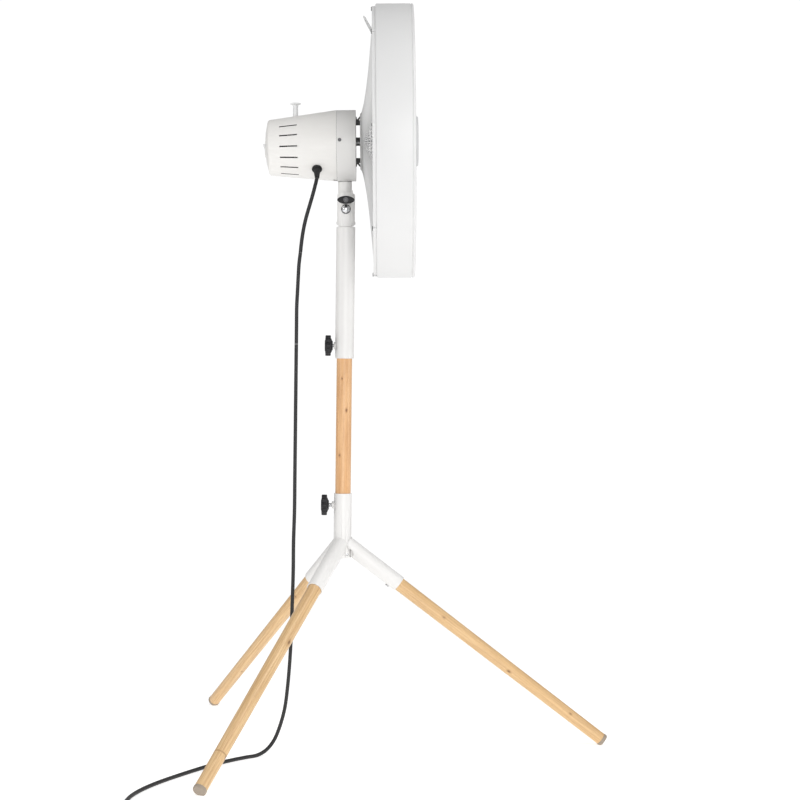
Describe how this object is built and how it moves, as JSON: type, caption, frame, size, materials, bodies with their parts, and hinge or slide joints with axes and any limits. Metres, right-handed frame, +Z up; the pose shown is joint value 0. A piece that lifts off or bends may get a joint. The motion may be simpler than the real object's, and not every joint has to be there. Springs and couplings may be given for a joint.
{
  "type": "tripod pedestal fan",
  "caption": "Tripod pedestal fan with folding wooden legs, a clamped sliding mast, a tilting and oscillating motor head and a caged drum.",
  "frame": {"origin": "centre of the object's box on the floor (the mains cord and plug left out)", "axes": "+Z up, the fan blows towards -Y, and the cord leaves on the -X side"},
  "size_m": [0.8964, 0.7445, 1.2204],
  "materials": {
    "white_metal": "satin white powder coat",
    "beech_leg": "clear satin lacquer over pale straight-grained beech",
    "beech_pole": "clear satin lacquer over warmer, more orange beech",
    "foot_rubber": "matt beige-grey",
    "black_plastic": "fine moulded grain",
    "steel": "zinc plated",
    "chrome": "bright plate",
    "dark_nylon": "dark nylon",
    "housing_grey": "cool pale grey paint",
    "housing_white": "warm white moulded housing, satin",
    "lamination": "stacked steel laminations",
    "winding": "enamelled copper wire",
    "bush_bronze": "sintered bronze",
    "cast_alloy": "as cast",
    "gear_nylon": "cream nylon",
    "capacitor_case": "potted case",
    "blade_plastic": "milky white, slightly glossy",
    "control_white": "neutral white",
    "guard_white": "white powder coat",
    "cap_grey": "pale grey moulding",
    "cord_black": "smooth black PVC sheath"
  },
  "bodies": {
    "stand": {"hub_socket": "white_metal", "hinge_pins": "steel", "wood_pole": "beech_pole", "cord_floor": "cord_black", "cord_coil": "cord_black", "mains_plug": "cord_black"},
    "leg_front": {"leg_socket_front": "white_metal", "leg_rod_front": "beech_leg", "leg_screws_front": "steel", "foot_pad_front": "foot_rubber"},
    "leg_left": {"leg_socket_left": "white_metal", "leg_rod_left": "beech_leg", "leg_screws_left": "steel", "foot_pad_left": "foot_rubber"},
    "leg_right": {"leg_socket_right": "white_metal", "leg_rod_right": "beech_leg", "leg_screws_right": "steel", "foot_pad_right": "foot_rubber"},
    "lower_knob": {"lower_clamp_knob": "black_plastic"},
    "mast": {"mast_tube": "white_metal", "tilt_yoke": "white_metal", "tilt_bolt": "steel", "acorn_nut": "chrome", "cord_middle": "cord_black"},
    "upper_knob": {"upper_clamp_knob": "black_plastic"},
    "wing": {"tilt_wing_knob": "black_plastic"},
    "tilt_head": {"neck": "white_metal", "thrust_washer": "dark_nylon", "link_anchor": "steel"},
    "link": {"drive_link": "steel"},
    "motor": {"motor_frame": "housing_grey", "motor_shell": "housing_white", "shell_screws": "steel", "stator_core": "lamination", "stator_coils": "winding", "rear_bracket": "cast_alloy", "shaft_bushes": "bush_bronze", "through_bolts": "steel", "gearbox_case": "cast_alloy", "capacitor": "capacitor_case", "switch_body": "housing_white", "cord_grommet": "cord_black", "guard_standoffs": "black_plastic", "rear_guard": "guard_white", "lifting_loop": "guard_white", "drum_band": "guard_white", "front_guard": "guard_white", "centre_cap": "cap_grey", "guard_clips": "dark_nylon", "cord_top": "cord_black"},
    "rotor": {"rotor_core": "lamination", "rotor_shaft": "steel", "fan_blades": "blade_plastic", "spinner_nut": "blade_plastic"},
    "wheel": {"worm_wheel": "gear_nylon"},
    "crank": {"crank_arm": "gear_nylon"},
    "pull": {"pull_knob": "control_white"},
    "rocker": {"switch_rocker": "control_white"}
  },
  "joints": [
    {"name": "fold_front", "type": "hinge", "parent": "stand", "child": "leg_front", "pos_m": [0.01203, 0.09273, 0.315], "axis": [0.9986, 0.0523, 0], "range_deg": [0, 52]},
    {"name": "fold_left", "type": "hinge", "parent": "stand", "child": "leg_left", "pos_m": [0.00448, 0.10435, 0.315], "axis": [-0.454, -0.891, 0], "range_deg": [0, 52]},
    {"name": "fold_right", "type": "hinge", "parent": "stand", "child": "leg_right", "pos_m": [0.01832, 0.10507, 0.315], "axis": [-0.5446, 0.8387, 0], "range_deg": [0, 52]},
    {"name": "lower_knob_turn", "type": "hinge", "parent": "stand", "child": "lower_knob", "pos_m": [0.01161, 0.13072, 0.3956], "axis": [0, 1, 0], "range_deg": [-360, 360]},
    {"name": "mast_slide", "type": "slide", "parent": "stand", "child": "mast", "axis": [0, 0, 1], "range_m": [-0.1, 0.04], "deforming": ["cord_middle", "cord_floor"]},
    {"name": "upper_knob_turn", "type": "hinge", "parent": "mast", "child": "upper_knob", "pos_m": [0.01161, 0.12772, 0.658], "axis": [0, 1, 0], "range_deg": [-360, 360]},
    {"name": "wing_turn", "type": "hinge", "parent": "mast", "child": "wing", "pos_m": [-0.01339, 0.10072, 0.896], "axis": [1, 0, 0], "range_deg": [-360, 360]},
    {"name": "tilt", "type": "hinge", "parent": "mast", "child": "tilt_head", "pos_m": [0.01161, 0.10072, 0.882], "axis": [-1, 0, 0], "range_deg": [-11, 19], "deforming": ["cord_top"]},
    {"name": "oscillation", "type": "hinge", "parent": "tilt_head", "child": "motor", "pos_m": [0.01161, 0.10309, 0.93197], "axis": [0, 0.0175, 0.9998], "range_deg": [-45, 45]},
    {"name": "link_swing", "type": "hinge", "parent": "tilt_head", "child": "link", "pos_m": [0.01161, 0.12333, 0.94542], "axis": [0, 0.0175, 0.9998], "range_deg": [-45, 45]},
    {"name": "fan_spin", "type": "hinge", "parent": "motor", "child": "rotor", "pos_m": [0.01161, 0.10267, 0.99398], "axis": [0, -0.9998, 0.0175], "continuous": true},
    {"name": "worm_wheel_turn", "type": "hinge", "parent": "motor", "child": "wheel", "pos_m": [0.02661, 0.18536, 0.99254], "axis": [0, 0.0175, 0.9998], "continuous": true},
    {"name": "crank_turn", "type": "hinge", "parent": "motor", "child": "crank", "pos_m": [0.02661, 0.18484, 0.96254], "axis": [0, 0.0175, 0.9998], "range_deg": [-90, 90]},
    {"name": "pull_knob_slide", "type": "slide", "parent": "motor", "child": "pull", "axis": [0, 0.0175, 0.9998], "range_m": [-0.008, 0]},
    {"name": "rocker_tip", "type": "hinge", "parent": "motor", "child": "rocker", "pos_m": [0.01161, 0.23343, 0.979], "axis": [1, 0, 0], "range_deg": [0, 12]}
  ],
  "couplings": [
    {"joint": "worm_wheel_turn", "follows": "fan_spin", "ratio": 0.05},
    {"joint": "crank_turn", "follows": "oscillation", "ratio": 2},
    {"joint": "link_swing", "follows": "oscillation", "ratio": 1}
  ]
}
